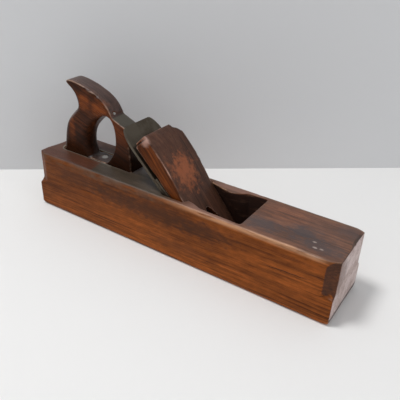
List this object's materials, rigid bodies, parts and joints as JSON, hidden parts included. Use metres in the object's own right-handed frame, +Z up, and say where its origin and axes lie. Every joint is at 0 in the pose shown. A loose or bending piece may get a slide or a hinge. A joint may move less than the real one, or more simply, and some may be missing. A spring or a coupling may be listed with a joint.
{
  "type": "hand plane",
  "caption": "Wooden bench plane with a closed handle at the rear, an open throat and a sloping iron assembly held by a forked wedge.",
  "frame": {"origin": "middle of the sole, on the sole's plane", "axes": "+X from the heel to the toe, +Y to the plane's left, +Z up"},
  "size_m": [0.39, 0.076, 0.163],
  "materials": {
    "stock_wood": "old oiled beech, worn satin",
    "tote_wood": "old beech darkened and polished by hands",
    "wedge_wood": "old beech, worn satin",
    "iron_steel": "dull grey patina",
    "fixing_steel": "worn bright",
    "nut_brass": "tarnished"
  },
  "bodies": {
    "stock_and_tote": {"stock": "stock_wood", "tote": "tote_wood", "tote_base_screw": "fixing_steel", "tote_brad": "fixing_steel"},
    "iron": {"cutting_iron": "iron_steel"},
    "cap": {"cap_iron": "iron_steel", "cap_iron_nut": "nut_brass"},
    "screw": {"cap_screw": "iron_steel"},
    "wedge": {"wedge": "wedge_wood"}
  },
  "joints": [
    {"name": "iron_slide", "type": "slide", "parent": "stock_and_tote", "child": "iron", "axis": [-0.7071, 0, 0.7071], "range_m": [-0.0015, 0.105]},
    {"name": "cap_iron_slide", "type": "slide", "parent": "iron", "child": "cap", "axis": [-0.7131, 0, 0.701], "range_m": [-0.001, 0.055]},
    {"name": "cap_screw_turn", "type": "hinge", "parent": "cap", "child": "screw", "pos_m": [0.00915, 0, 0.05779], "axis": [0.701, 0, 0.7131], "range_deg": [-360, 0]},
    {"name": "wedge_slide", "type": "slide", "parent": "cap", "child": "wedge", "axis": [-0.7131, 0, 0.701], "range_m": [0, 0.08]}
  ]
}
